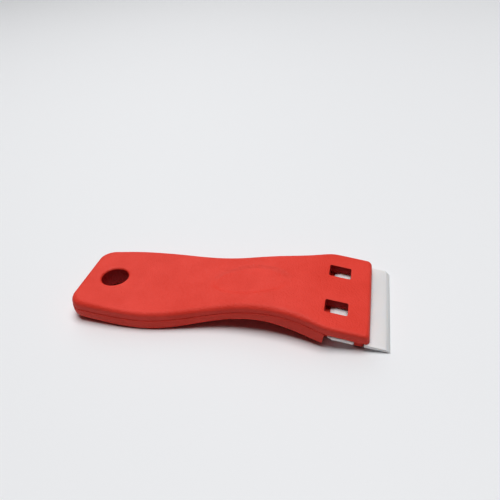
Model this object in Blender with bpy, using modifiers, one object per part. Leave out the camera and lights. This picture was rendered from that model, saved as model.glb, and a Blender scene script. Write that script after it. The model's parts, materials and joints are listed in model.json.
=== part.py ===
"""Glass scraper: two moulded half handles that swing apart about the hanging hole, holding a
double-edged blade on two lugs. Metres, +Z up, the blade points along +X, the floor is z = 0."""

import math

import bmesh
import bpy
import numpy as np
from mathutils import Matrix, Vector

MM = 0.001

# Blade
BLADE_LENGTH = 38.1 * MM
BLADE_DEPTH = 19.05 * MM
BLADE_THICKNESS = 1.3 * MM
BLADE_ANGLE = math.radians(10.7)
BLADE_PROUD = 6.2 * MM
BEVEL_DEPTH = 1.6 * MM
EDGE_THICKNESS = 0.3 * MM
CORNER_CUT_DEPTH = 1.8 * MM
CORNER_CUT_LENGTH = 1.0 * MM
NOTCH_WIDTH = 3.2 * MM
NOTCH_DEPTH = 2.2 * MM

# Plan of the handle, as distances from the tail end or the head's front edge and half widths
HANDLE_LENGTH = 100.0 * MM
TAIL_HALF_WIDTH = 14.5 * MM
TAIL_FLARE = 0.15
TAIL_CORNER = 5.0 * MM
SWELL_FROM_TAIL = 26.0 * MM
SWELL_HALF_WIDTH = 17.1 * MM
WAIST_FROM_FRONT = 42.5 * MM
WAIST_HALF_WIDTH = 12.8 * MM
HEAD_SIDE = 12.4 * MM
HEAD_MARGIN = 0.3 * MM
HEAD_FLARE = 0.43
HEAD_SHOULDER = 2.4 * MM
HEAD_CORNER = 1.6 * MM

# Side view of the handle
SEAM_GAP = 0.3 * MM
SEAM_HEIGHT_AT_PIVOT = 4.4 * MM
PIVOT_TILT = math.radians(3.0)
FLAT_RADIUS = 20.5 * MM
CROWN_RADIUS = 62.0 * MM
CROWN_RISE = 6.25 * MM
UPPER_WALL = 2.9 * MM
TOP_FILLET = 1.5 * MM
BOTTOM_FILLET = 0.9 * MM
TAIL_LIFT = 0.5 * MM
REST_FROM_TAIL = 25.5 * MM
REST_LENGTH = 10.0 * MM
ARCH_FROM_FRONT = 34.5 * MM
ARCH_HEIGHT = 3.65 * MM

# Tail boss, its snap lip and its stop key
PIVOT_FROM_TAIL = 11.3 * MM
HOLE_RADIUS = 4.75 * MM
HOLE_FLARE = 1.2 * MM
BOSS_WALL = 1.55 * MM
TURNING_CLEARANCE = 0.3 * MM
LIP_REACH = 0.6 * MM
LIP_HEIGHT = 0.9 * MM
LIP_RECESS = 0.4 * MM
KEY_REACH = 1.6 * MM
KEY_WIDTH = 2.4 * MM
KEY_HEIGHT = 1.4 * MM
SWING_RANGE = math.radians(40.0)

# Windows in the upper half, as distances from the head's front edge and the middle line
WINDOW_FRONT = 6.7 * MM
WINDOW_LENGTH = 7.1 * MM
WINDOW_INNER = 6.1 * MM
WINDOW_WIDTH = 5.7 * MM
WINDOW_CORNER = 0.6 * MM

# Shallow oval thumb dish on top, at the waist
DISH_FROM_FRONT = 39.4 * MM
DISH_LENGTH = 24.0 * MM
DISH_WIDTH = 15.5 * MM
DISH_DEPTH = 0.3 * MM
DISH_RIM = 2.0 * MM

# Jaw of the lower half, under the blade
NECK_GAP = 1.5 * MM
JAW_HALF_WIDTH = 15.5 * MM
JAW_SETBACK = 1.2 * MM
JAW_TIP_LIFT = 0.35 * MM
JAW_ROOT_HEIGHT = 1.2 * MM
JAW_CORNER = 1.2 * MM
SEAT_GAP = 0.3 * MM
LUG_CLEARANCE = 0.3 * MM
LUG_SETBACK = 0.15 * MM

# Mesh fineness
STATION_STEP = 4.0 * MM
TURN_STEPS = 96
BORE_STEPS = 48
ARC_STEPS = 5
DISH_STEPS = 32

# Places that follow from the sizes
BLADE_EDGE_OVERHANG = EDGE_THICKNESS * math.sin(BLADE_ANGLE)
FRONT_X = (HANDLE_LENGTH - BLADE_PROUD - BLADE_EDGE_OVERHANG) / 2
TAIL_X = FRONT_X - HANDLE_LENGTH
PIVOT_X = TAIL_X + PIVOT_FROM_TAIL
PIVOT = Vector((PIVOT_X, 0.0, SEAM_HEIGHT_AT_PIVOT))
BLADE_TIP_X = FRONT_X + BLADE_PROUD
BLADE_BACK_X = BLADE_TIP_X - BLADE_DEPTH * math.cos(BLADE_ANGLE)
BLADE_MIDDLE_X = (BLADE_TIP_X + BLADE_BACK_X) / 2
NECK_X = BLADE_BACK_X - NECK_GAP
HEAD_ROOT_X = FRONT_X - HEAD_SIDE
HEAD_HALF_WIDTH = BLADE_LENGTH / 2 + HEAD_MARGIN
REACH = HANDLE_LENGTH / 2 + BLADE_DEPTH


def hermite(x, start, end, start_slope=0.0, end_slope=0.0):
    """Height at x of the smooth curve between two (x, height) points with the given slopes."""
    run = end[0] - start[0]
    t = (x - start[0]) / run
    blend = t * t * (3 - 2 * t)
    start_part = start_slope * run * t * (1 - t) ** 2
    end_part = end_slope * run * t * t * (t - 1)
    return start[1] * (1 - blend) + end[1] * blend + start_part + end_part


def half_width(x):
    """Half the handle's width at x."""
    tail = (TAIL_X, TAIL_HALF_WIDTH)
    swell = (TAIL_X + SWELL_FROM_TAIL, SWELL_HALF_WIDTH)
    waist = (FRONT_X - WAIST_FROM_FRONT, WAIST_HALF_WIDTH)
    neck = (HEAD_ROOT_X - HEAD_SHOULDER, HEAD_HALF_WIDTH - HEAD_FLARE * HEAD_SHOULDER)
    head = (HEAD_ROOT_X + HEAD_SHOULDER, HEAD_HALF_WIDTH)
    if x <= swell[0]:
        return hermite(x, tail, swell, TAIL_FLARE, 0.0)
    if x <= waist[0]:
        return hermite(x, swell, waist)
    if x <= neck[0]:
        return hermite(x, waist, neck, 0.0, HEAD_FLARE)
    if x <= head[0]:
        return hermite(x, neck, head, HEAD_FLARE, 0.0)
    return HEAD_HALF_WIDTH


def blade_top(x):
    """Height of the blade's upper face at x."""
    return (BLADE_TIP_X - x) * math.tan(BLADE_ANGLE) + BLADE_THICKNESS / math.cos(BLADE_ANGLE)


def rise_above_tilt(x, z):
    """Height of the point (x, z) above the tilted plane through the pivot."""
    return (x - PIVOT_X) * math.sin(PIVOT_TILT) + (z - PIVOT.z) * math.cos(PIVOT_TILT)


def seam_rise(radius):
    """Height of the upper half's mating face above the tilted plane, at a radius from the pivot.

    In the head it is the face that the blade's end would sweep as it swings, plus the seat gap."""
    blade_half = BLADE_LENGTH / 2
    back_run = BLADE_BACK_X - PIVOT_X
    corner = math.hypot(back_run, blade_half)
    corner_rise = rise_above_tilt(BLADE_BACK_X, blade_top(BLADE_BACK_X)) + SEAT_GAP
    fall = math.tan(BLADE_ANGLE - PIVOT_TILT)
    if radius <= FLAT_RADIUS:
        return 0.0
    if radius <= CROWN_RADIUS:
        return hermite(radius, (FLAT_RADIUS, 0.0), (CROWN_RADIUS, CROWN_RISE))
    if radius <= corner:
        crown = (CROWN_RADIUS, CROWN_RISE)
        return hermite(radius, crown, (corner, corner_rise), 0.0, -fall * corner / back_run)
    return corner_rise - fall * (math.sqrt(radius ** 2 - blade_half ** 2) - back_run)


def seam_height(x, y):
    """Height of the upper half's mating face above the floor."""
    run = x - PIVOT_X
    rise = seam_rise(math.hypot(run, y))
    return PIVOT.z - run * math.tan(PIVOT_TILT) + rise / math.cos(PIVOT_TILT)


def top_height(x):
    """Height of the upper half's outer face."""
    return seam_height(x, half_width(x)) + UPPER_WALL


def bottom_height(x):
    """Height of the lower half's outer face, flat on the floor where the handle rests."""
    rest_start = TAIL_X + REST_FROM_TAIL
    rest_end = rest_start + REST_LENGTH
    arch = (FRONT_X - ARCH_FROM_FRONT, ARCH_HEIGHT)
    neck = (NECK_X, JAW_ROOT_HEIGHT)
    tip = (FRONT_X - JAW_SETBACK, JAW_TIP_LIFT)
    jaw_slope = (tip[1] - neck[1]) / (tip[0] - neck[0])
    if x <= rest_start:
        return hermite(x, (TAIL_X, TAIL_LIFT), (rest_start, 0.0))
    if x <= rest_end:
        return 0.0
    if x <= arch[0]:
        return hermite(x, (rest_end, 0.0), arch)
    if x <= neck[0]:
        return hermite(x, arch, neck, 0.0, jaw_slope)
    return neck[1] + (x - neck[0]) * jaw_slope


def stations():
    """Places along X where the handle's faces are divided so that they can bend."""
    fixed = [TAIL_X, TAIL_X + REST_FROM_TAIL, TAIL_X + REST_FROM_TAIL + REST_LENGTH, NECK_X,
             HEAD_ROOT_X - HEAD_SHOULDER, HEAD_ROOT_X, HEAD_ROOT_X + HEAD_SHOULDER, FRONT_X]
    fixed.sort()
    places = set(fixed)
    for start, end in zip(fixed, fixed[1:]):
        count = max(1, round((end - start) / STATION_STEP))
        for step in range(1, count):
            places.add(start + (end - start) * step / count)
    return sorted(places)


def arc(centre, radius, start, end):
    """Points on an arc in plan, from one angle to another in degrees."""
    points = []
    for step in range(ARC_STEPS + 1):
        angle = math.radians(start + (end - start) * step / ARC_STEPS)
        points.append((centre[0] + radius * math.cos(angle), centre[1] + radius * math.sin(angle)))
    return points


def handle_side():
    """The handle's far side in plan, from the middle of the tail to the middle of the front."""
    lean = math.atan(TAIL_FLARE)
    corner_x = TAIL_X + TAIL_CORNER
    touch_x = corner_x - TAIL_CORNER * math.sin(lean)
    corner_y = half_width(touch_x) - TAIL_CORNER * math.cos(lean)
    points = arc((corner_x, corner_y), TAIL_CORNER, 180, 90 + math.degrees(lean))
    shoulder_x = HEAD_ROOT_X + HEAD_SHOULDER
    points += [(x, half_width(x)) for x in stations() if corner_x < x <= shoulder_x]
    front_corner = (FRONT_X - HEAD_CORNER, HEAD_HALF_WIDTH - HEAD_CORNER)
    return points + arc(front_corner, HEAD_CORNER, 90, 0)


def lower_side():
    """The lower half's far side in plan: the handle to the neck, then the jaw and its lug's wing."""
    lug_half = NOTCH_WIDTH / 2 - LUG_CLEARANCE
    wing_y = BLADE_LENGTH / 2 - LUG_SETBACK
    tip_x = FRONT_X - JAW_SETBACK
    points = [(x, y) for x, y in handle_side() if x < NECK_X - 0.1 * MM]
    points += [(NECK_X, half_width(NECK_X)), (NECK_X, JAW_HALF_WIDTH)]
    points += [(BLADE_MIDDLE_X - lug_half, JAW_HALF_WIDTH), (BLADE_MIDDLE_X - lug_half, wing_y)]
    points += [(BLADE_MIDDLE_X + lug_half, wing_y), (BLADE_MIDDLE_X + lug_half, JAW_HALF_WIDTH)]
    corner = (tip_x - JAW_CORNER, JAW_HALF_WIDTH - JAW_CORNER)
    return points + arc(corner, JAW_CORNER, 90, 0)


def blade_outline():
    """The blade's plan about its middle: notched ends and two opposite corners cut off."""
    half_depth, half_length = BLADE_DEPTH / 2, BLADE_LENGTH / 2
    notch_y = half_length - NOTCH_DEPTH
    half_turn = [(half_depth, 0.0), (half_depth, half_length - CORNER_CUT_LENGTH),
                 (half_depth - CORNER_CUT_DEPTH, half_length), (NOTCH_WIDTH / 2, half_length),
                 (NOTCH_WIDTH / 2, notch_y), (-NOTCH_WIDTH / 2, notch_y),
                 (-NOTCH_WIDTH / 2, half_length), (-half_depth, half_length)]
    return half_turn + [(-x, -y) for x, y in half_turn]


def mirrored(side):
    """A closed outline from its far side and the same side turned over the middle line."""
    near = [(x, -y) for x, y in reversed(side) if y > 0]
    return side + near


def collection(name):
    """A collection under the scene's own one."""
    group = bpy.data.collections.new(name)
    bpy.context.scene.collection.children.link(group)
    return group


def plastic(name, colour, roughness):
    """A plain moulded plastic."""
    material = bpy.data.materials.new(name)
    material.use_nodes = True
    shader = material.node_tree.nodes["Principled BSDF"]
    shader.inputs["Base Color"].default_value = (*colour, 1.0)
    shader.inputs["Roughness"].default_value = roughness
    shader.inputs["Metallic"].default_value = 0.0
    return material


def add_object(name, data, group):
    """An object for the given mesh or curve, linked into a collection."""
    item = bpy.data.objects.new(name, data)
    group.objects.link(item)
    return item


def as_cutter(item):
    """Mark an object as a cutter, which shows as wires only."""
    item.hide_render = True
    item.display_type = "WIRE"
    return item


def outline_slab(name, outline, low, high, group):
    """A flat slab between two heights, from a filled curve made into a welded mesh."""
    curve = bpy.data.curves.new(name, "CURVE")
    curve.dimensions = "2D"
    curve.fill_mode = "BOTH"
    curve.extrude = (high - low) / 2
    spline = curve.splines.new("POLY")
    spline.points.add(len(outline) - 1)
    for point, (x, y) in zip(spline.points, outline):
        point.co = (x, y, 0.0, 1.0)
    spline.use_cyclic_u = True
    source = add_object(name + "_outline", curve, group)
    source.location.z = (high + low) / 2
    bpy.context.view_layer.update()
    evaluated = source.evaluated_get(bpy.context.evaluated_depsgraph_get())
    mesh = bpy.data.meshes.new_from_object(evaluated)
    mesh.transform(source.matrix_world)
    bpy.data.objects.remove(source)
    shape = bmesh.new()
    shape.from_mesh(mesh)
    bmesh.ops.remove_doubles(shape, verts=shape.verts, dist=0.01 * MM)
    bmesh.ops.dissolve_limit(shape, angle_limit=math.radians(0.5), verts=shape.verts,
                             edges=shape.edges)
    bmesh.ops.recalc_face_normals(shape, faces=shape.faces)
    shape.to_mesh(mesh)
    shape.free()
    mesh.name = name
    return add_object(name, mesh, group)


def box(name, low, high, group):
    """A box between two corners."""
    mesh = bpy.data.meshes.new(name)
    shape = bmesh.new()
    size = Vector(high) - Vector(low)
    place = Matrix.Translation((Vector(high) + Vector(low)) / 2) @ Matrix.Diagonal((*size, 1.0))
    bmesh.ops.create_cube(shape, size=1.0, matrix=place)
    shape.to_mesh(mesh)
    shape.free()
    return add_object(name, mesh, group)


def turned(name, profile, group, steps=BORE_STEPS, angle=math.tau, start=0.0):
    """A solid turned about the pivot from (radius, height) points, outer side top to bottom.

    A full turn is closed at both ends by flat caps."""
    mesh = bpy.data.meshes.new(name)
    shape = bmesh.new()
    verts = [shape.verts.new((r * math.cos(start), r * math.sin(start), z)) for r, z in profile]
    for first, second in zip(verts, verts[1:]):
        shape.edges.new((first, second))
    if angle < math.tau:
        shape.edges.new((verts[-1], verts[0]))
    shape.to_mesh(mesh)
    shape.free()
    item = add_object(name, mesh, group)
    screw = item.modifiers.new("turn", "SCREW")
    screw.angle = angle
    screw.steps = steps
    screw.render_steps = steps
    screw.use_merge_vertices = angle >= math.tau
    screw.merge_threshold = 0.01 * MM
    screw.use_normal_calculate = True
    item.matrix_world = Matrix.Translation(PIVOT) @ Matrix.Rotation(PIVOT_TILT, 4, "Y")
    apply_modifiers(item)
    return item


def apply_modifiers(item):
    """Replace an object's mesh with its evaluated one, closed and facing out."""
    bpy.context.view_layer.update()
    evaluated = item.evaluated_get(bpy.context.evaluated_depsgraph_get())
    mesh = bpy.data.meshes.new_from_object(evaluated)
    item.modifiers.clear()
    shape = bmesh.new()
    shape.from_mesh(mesh)
    bmesh.ops.remove_doubles(shape, verts=shape.verts, dist=0.005 * MM)
    open_edges = [edge for edge in shape.edges if edge.is_boundary]
    if open_edges:
        bmesh.ops.holes_fill(shape, edges=open_edges, sides=0)
    bmesh.ops.recalc_face_normals(shape, faces=shape.faces)
    shape.to_mesh(mesh)
    shape.free()
    mesh.name = item.data.name
    item.data = mesh


def combine(item, other, operation):
    """Add another object to this one, or cut it away, with an exact Boolean."""
    modifier = item.modifiers.new(other.name, "BOOLEAN")
    modifier.object = other
    modifier.operation = operation
    modifier.solver = "EXACT"
    as_cutter(other)


def weigh_edges(item, chosen):
    """Give full bevel weight to the edges that a test on their two ends picks out."""
    shape = bmesh.new()
    shape.from_mesh(item.data)
    weight = shape.edges.layers.float.new("bevel_weight_edge")
    for edge in shape.edges:
        edge[weight] = float(chosen(edge.verts[0].co, edge.verts[1].co))
    shape.to_mesh(item.data)
    shape.free()


def round_edges(item, radius, segments):
    """Round the weighted edges."""
    bevel = item.modifiers.new("fillet", "BEVEL")
    bevel.width = radius
    bevel.segments = segments
    bevel.limit_method = "WEIGHT"
    apply_modifiers(item)


def is_upright(first, second):
    """Whether an edge runs up and down."""
    return abs(first.z - second.z) > MM


def is_rim(first, second):
    """Whether an edge lies in the slab's outer face."""
    return abs(first.z) < 0.01 * MM and abs(second.z) < 0.01 * MM


def bend(item, height):
    """Divide a flat slab at the stations, then lift each point by the height there."""
    places = stations()
    heights = [height(x) for x in places]
    shape = bmesh.new()
    shape.from_mesh(item.data)
    for x in places[1:-1]:
        geometry = shape.verts[:] + shape.edges[:] + shape.faces[:]
        bmesh.ops.bisect_plane(shape, geom=geometry, plane_co=(x, 0, 0), plane_no=(1, 0, 0),
                               dist=0.001 * MM)
    for vert in shape.verts:
        vert.co.z += float(np.interp(vert.co.x, places, heights))
    shape.to_mesh(item.data)
    shape.free()


def seam_profile(offset):
    """Points of the mating face from the pivot outwards, in its tilted frame."""
    reach = HANDLE_LENGTH + REACH
    radii = [FLAT_RADIUS]
    while radii[-1] + STATION_STEP < reach:
        radii.append(radii[-1] + STATION_STEP)
    return [(radius, seam_rise(radius) + offset) for radius in radii]


def under_seam(group):
    """Everything below the upper half's mating face."""
    face = seam_profile(0.0)
    outer = face[-1][0]
    return turned("under_seam", face + [(outer, -REACH)], group, TURN_STEPS)


def over_seam(group):
    """Everything above the lower half's mating face."""
    face = seam_profile(-SEAM_GAP)
    outer = face[-1][0]
    return turned("over_seam", [(outer, REACH)] + face[::-1], group, TURN_STEPS)


def boss_bottom():
    """Height of the boss's lower end in the tilted frame, just inside the lower half."""
    return rise_above_tilt(PIVOT_X, bottom_height(PIVOT_X)) + LIP_RECESS


def boss_solid(group):
    """The turned boss that hangs from the upper half, with the snap lip at its lower end."""
    outer = HOLE_RADIUS + BOSS_WALL
    lip = outer + LIP_REACH
    low = boss_bottom()
    profile = [(outer, UPPER_WALL / 2), (outer, low + LIP_HEIGHT), (lip, low + LIP_HEIGHT)]
    profile += [(lip, low + LIP_HEIGHT / 2), (outer, low)]
    return turned("boss", profile, group)


def stop_key(group):
    """The tooth on the boss that stops the swing at both ends."""
    outer = HOLE_RADIUS + BOSS_WALL
    half = KEY_WIDTH / 2
    low = (outer - BOSS_WALL / 2, -half, -KEY_HEIGHT)
    high = (outer + KEY_REACH, half, UPPER_WALL / 3)
    item = box("stop_key", low, high, group)
    item.matrix_world = Matrix.Translation(PIVOT) @ Matrix.Rotation(PIVOT_TILT, 4, "Y")
    return item


def hole_cutter(group):
    """The hanging hole, opening out softly at the top face."""
    top = rise_above_tilt(PIVOT_X, top_height(PIVOT_X))
    profile = [(HOLE_RADIUS + HOLE_FLARE, top + REACH)]
    for step in range(ARC_STEPS + 1):
        angle = math.radians(90 * step / ARC_STEPS)
        radius = HOLE_RADIUS + HOLE_FLARE * (1 - math.sin(angle))
        profile.append((radius, top - HOLE_FLARE * (1 - math.cos(angle))))
    return turned("hanging_hole", profile + [(HOLE_RADIUS, -REACH)], group)


def bore_cutter(group):
    """The lower half's bore for the boss and the counterbore for its lip."""
    bore = HOLE_RADIUS + BOSS_WALL + TURNING_CLEARANCE
    counterbore = bore + LIP_REACH
    ledge = boss_bottom() + LIP_HEIGHT + TURNING_CLEARANCE
    profile = [(bore, REACH), (bore, ledge), (counterbore, ledge), (counterbore, -REACH)]
    return turned("boss_bore", profile, group)


def key_pocket(group):
    """The arc pocket that the stop key travels in."""
    outer = HOLE_RADIUS + BOSS_WALL
    slack = (KEY_WIDTH / 2 + TURNING_CLEARANCE) / outer
    radii = (outer - BOSS_WALL / 2, outer + KEY_REACH + TURNING_CLEARANCE)
    low = -KEY_HEIGHT - TURNING_CLEARANCE
    profile = [(radii[0], REACH), (radii[1], REACH), (radii[1], low), (radii[0], low)]
    steps = BORE_STEPS // 4
    return turned("key_pocket", profile, group, steps, SWING_RANGE + 2 * slack, -slack)


def window_cutter(name, side, group):
    """One window's opening, with rounded corners."""
    front = FRONT_X - WINDOW_FRONT
    inner, outer = WINDOW_INNER, WINDOW_INNER + WINDOW_WIDTH
    low_y, high_y = sorted((side * inner, side * outer))
    item = box(name, (front - WINDOW_LENGTH, low_y, 0.0), (front, high_y, REACH), group)
    weigh_edges(item, is_upright)
    round_edges(item, WINDOW_CORNER, 2)
    return item


def dish_cutter(group):
    """The thumb dish: an oval slab whose underside slopes in to a floor, bent like the top."""
    middle = FRONT_X - DISH_FROM_FRONT
    reach_x, reach_y = DISH_LENGTH / 2 + DISH_RIM, DISH_WIDTH / 2 + DISH_RIM
    angles = [math.tau * step / DISH_STEPS for step in range(DISH_STEPS)]
    oval = [(middle + reach_x * math.cos(turn), reach_y * math.sin(turn)) for turn in angles]
    item = outline_slab("thumb_dish", oval, DISH_DEPTH, REACH / 2, group)
    shape = bmesh.new()
    shape.from_mesh(item.data)
    underside = [face for face in shape.faces if face.normal.z < -0.5]
    bmesh.ops.inset_region(shape, faces=underside, thickness=2 * DISH_RIM, depth=2 * DISH_DEPTH,
                           use_even_offset=True)
    shape.to_mesh(item.data)
    shape.free()
    bend(item, top_height)
    return item


def make_upper_half(parts, cutters, material):
    """The top shell: handle, head plate with its windows, and the boss under the tail."""
    item = outline_slab("upper_half", mirrored(handle_side()), -REACH / 2, 0.0, parts)
    weigh_edges(item, is_rim)
    round_edges(item, TOP_FILLET, 4)
    bend(item, top_height)
    combine(item, under_seam(cutters), "DIFFERENCE")
    combine(item, boss_solid(cutters), "UNION")
    combine(item, stop_key(cutters), "UNION")
    combine(item, hole_cutter(cutters), "DIFFERENCE")
    combine(item, dish_cutter(cutters), "DIFFERENCE")
    combine(item, window_cutter("near_window", -1, cutters), "DIFFERENCE")
    combine(item, window_cutter("far_window", 1, cutters), "DIFFERENCE")
    finish(item, material)
    return item


def blade_frame():
    """Place of the middle of the blade's underside, sloping down to the floor at its tip."""
    middle = Vector((BLADE_MIDDLE_X, 0.0, BLADE_DEPTH / 2 * math.sin(BLADE_ANGLE)))
    return Matrix.Translation(middle) @ Matrix.Rotation(BLADE_ANGLE, 4, "Y")


def above_jaw(group):
    """Everything above the jaw's seat for the blade, in front of the neck."""
    item = box("above_jaw", (NECK_X, -REACH, 0.0), (NECK_X + REACH, REACH, REACH), group)
    for vert in item.data.vertices:
        if vert.co.z < MM:
            vert.co.z = blade_top(vert.co.x) - (BLADE_THICKNESS + SEAT_GAP) / math.cos(BLADE_ANGLE)
    return item


def lug(name, side, group):
    """One lug that stands through the notch in the blade's end."""
    half = NOTCH_WIDTH / 2 - LUG_CLEARANCE
    end = BLADE_LENGTH / 2
    inner, outer = end - NOTCH_DEPTH + LUG_CLEARANCE, end - LUG_SETBACK
    low_y, high_y = sorted((side * inner, side * outer))
    top = BLADE_THICKNESS - LUG_SETBACK
    item = box(name, (-half, low_y, -2 * SEAT_GAP), (half, high_y, top), group)
    item.matrix_world = blade_frame()
    return item


def make_lower_half(parts, cutters, material):
    """The bottom shell: handle up to the neck, then the jaw and lugs that carry the blade."""
    item = outline_slab("lower_half", mirrored(lower_side()), 0.0, REACH / 2, parts)
    weigh_edges(item, is_rim)
    round_edges(item, BOTTOM_FILLET, 3)
    bend(item, bottom_height)
    combine(item, over_seam(cutters), "DIFFERENCE")
    combine(item, above_jaw(cutters), "DIFFERENCE")
    combine(item, lug("near_lug", -1, cutters), "UNION")
    combine(item, lug("far_lug", 1, cutters), "UNION")
    combine(item, bore_cutter(cutters), "DIFFERENCE")
    combine(item, key_pocket(cutters), "DIFFERENCE")
    finish(item, material)
    return item


def edge_cutter(name, side, group):
    """The wedge of plastic above one of the blade's two bevels."""
    drop = BLADE_THICKNESS - EDGE_THICKNESS
    slope = math.atan2(drop, BEVEL_DEPTH)
    item = box(name, (-REACH, -REACH, 0.0), (REACH, REACH, REACH), group)
    place = Matrix.Translation((side * BLADE_DEPTH / 2, 0.0, EDGE_THICKNESS))
    item.matrix_world = blade_frame() @ place @ Matrix.Rotation(side * slope, 4, "Y")
    return item


def make_blade(parts, cutters, material):
    """The double-edged blade, sloping down to the floor at its front edge."""
    item = outline_slab("blade", blade_outline(), 0.0, BLADE_THICKNESS, parts)
    item.matrix_world = blade_frame()
    combine(item, edge_cutter("front_bevel", 1, cutters), "DIFFERENCE")
    combine(item, edge_cutter("back_bevel", -1, cutters), "DIFFERENCE")
    finish(item, material)
    return item


def finish(item, material):
    """Give a piece its material and smooth shading up to its sharp edges."""
    apply_modifiers(item)
    item.data.materials.clear()
    item.data.materials.append(material)
    item.data.shade_smooth()
    item.data.set_sharp_from_angle(angle=math.radians(35))


def move_origin(item, place):
    """Put a piece's origin at a place without moving its faces."""
    item.data.transform(place.inverted() @ item.matrix_world)
    item.matrix_world = place


def main():
    """Build the scraper."""
    for item in list(bpy.data.objects):
        bpy.data.objects.remove(item)
    parts = collection("glass_scraper")
    cutters = collection("cutters")
    red = plastic("red_plastic", (0.71, 0.063, 0.045), 0.55)
    white = plastic("white_plastic", (0.72, 0.71, 0.69), 0.4)
    pivot_frame = Matrix.Translation(PIVOT) @ Matrix.Rotation(PIVOT_TILT, 4, "Y")
    upper = make_upper_half(parts, cutters, red)
    move_origin(upper, pivot_frame)
    make_lower_half(parts, cutters, red)
    make_blade(parts, cutters, white)


main()
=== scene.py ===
# %% [markdown]
# # A glass scraper in red and white plastic
#
# The real object is a small hand scraper. Two long red mouldings lie face to face and swing apart
# about the hanging hole at the tail. Between them, at the head, they hold a flat white blade.
#
# This notebook dresses that object for a picture. The sizes and the motion are already settled in
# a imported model, which is loaded first and never changed. Each piece is then modelled again with
# a fine surface, finished with a material of its own, and tied to the body that carries it.

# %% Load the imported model
import json
import math

import bmesh
import bpy
from mathutils import Matrix, Vector


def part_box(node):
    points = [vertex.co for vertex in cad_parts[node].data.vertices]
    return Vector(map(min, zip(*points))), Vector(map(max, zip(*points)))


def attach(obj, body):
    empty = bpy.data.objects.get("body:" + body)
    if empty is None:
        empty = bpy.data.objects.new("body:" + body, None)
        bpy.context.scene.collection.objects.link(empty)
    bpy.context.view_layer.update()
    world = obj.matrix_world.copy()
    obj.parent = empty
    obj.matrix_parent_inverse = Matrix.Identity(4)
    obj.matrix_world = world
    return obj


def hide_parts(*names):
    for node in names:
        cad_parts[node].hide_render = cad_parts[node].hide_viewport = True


MM = 0.001
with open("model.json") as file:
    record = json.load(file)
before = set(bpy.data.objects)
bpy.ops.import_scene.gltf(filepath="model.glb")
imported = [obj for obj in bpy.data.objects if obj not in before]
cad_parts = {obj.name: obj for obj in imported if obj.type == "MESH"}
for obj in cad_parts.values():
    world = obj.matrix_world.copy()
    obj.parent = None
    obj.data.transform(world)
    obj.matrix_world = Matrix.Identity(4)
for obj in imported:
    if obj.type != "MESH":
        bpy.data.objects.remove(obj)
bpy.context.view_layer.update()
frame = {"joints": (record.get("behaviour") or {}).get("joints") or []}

# %% [markdown]
# ## The camera
#
# The camera was held on the near side, about level with the head, and looked down at about 34
# degrees. A camera can be placed by eye, but here its place was worked out from the usual size of
# such a blade, so it is given as a place, a point on the floor that it looks at, and a small
# roll. The focal length is kept in pixels of the square picture, because that is what can be
# measured.

# %% Place the camera
PHOTO_SIDE = 500
FOCAL_PIXELS = 502.7
CENTRE_PIXEL = (270, 245)
CAMERA_PLACE = Vector((45.5, -126.44, 112.33)) * MM
CAMERA_TARGET = Vector((7.16, 33.97, 0.0)) * MM
CAMERA_ROLL = math.radians(-5.17)
SENSOR = 36.0

bpy.ops.object.select_all(action="DESELECT")
bpy.ops.object.camera_add(location=CAMERA_PLACE)
camera = bpy.context.object
camera.name = "camera"
camera.data.sensor_width = SENSOR
camera.data.lens = FOCAL_PIXELS / PHOTO_SIDE * SENSOR
camera.data.shift_x = (PHOTO_SIDE / 2 - CENTRE_PIXEL[0]) / PHOTO_SIDE
camera.data.shift_y = (CENTRE_PIXEL[1] - PHOTO_SIDE / 2) / PHOTO_SIDE
camera.data.clip_start = 5 * MM
aim = (CAMERA_TARGET - CAMERA_PLACE).to_track_quat("-Z", "Y")
camera.rotation_euler = (aim.to_matrix() @ Matrix.Rotation(CAMERA_ROLL, 3, "Z")).to_euler()
bpy.context.scene.camera = camera
print("lens in mm:", round(camera.data.lens, 2))

# %% [markdown]
# ## Colours and nodes
#
# Colours are read off as sRGB hex values, the way a paint program shows them. Blender's shaders
# calculate in linear light, so one function turns a hex value into linear numbers. A second one
# starts a material, and a third adds a shader node, with its settings and its links, so that a
# material reads like a short recipe.

# %% Helpers for materials
def linear(hex_colour):
    """A colour such as "D8392B" as linear red, green, blue and a full alpha."""
    parts = [int(hex_colour[start:start + 2], 16) / 255 for start in (0, 2, 4)]
    return [part / 12.92 if part <= 0.04045 else ((part + 0.055) / 1.055) ** 2.4
            for part in parts] + [1.0]


def start_material(name):
    """A new material, its node tree and its shader."""
    material = bpy.data.materials.new(name)
    material.use_nodes = True
    return material, material.node_tree, material.node_tree.nodes["Principled BSDF"]


def add_node(tree, kind, settings=None, inputs=None):
    """A new shader node. Each input is given a value, or linked if it is given another's output."""
    made = tree.nodes.new(kind)
    for name, value in (settings or {}).items():
        setattr(made, name, value)
    for name, value in (inputs or {}).items():
        if isinstance(value, bpy.types.NodeSocket):
            tree.links.new(value, made.inputs[name])
        else:
            made.inputs[name].default_value = value
    return made


print("middle grey 808080 in linear light:", [round(part, 3) for part in linear("808080")[:3]])


# %% [markdown]
# ## Floor and light
#
# The scraper lies on plain white paper in a bright room. One soft lamp almost overhead, a little
# to the far side, gives most of the light: the top faces are bright, the near walls are dark, and
# the shadow stays close under the arch. A weaker and broader light far behind is the window, and
# a dim world keeps the shade from going black. The world could light everything alone, but then
# nothing would look like it stands on the floor. Where the eye looks past the floor it meets a
# pale wall, which is there to be seen and gives no light. A camera deepens the darks of a bright
# picture by itself, so the colours are shown with a look of slightly higher contrast.

# %% Floor
FLOOR_SIDE = 2.4
PAPER_WHITE = "EEEFF1"

bpy.ops.mesh.primitive_grid_add(x_subdivisions=4, y_subdivisions=4, size=FLOOR_SIDE)
floor = bpy.context.object
floor.name = "floor"
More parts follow.
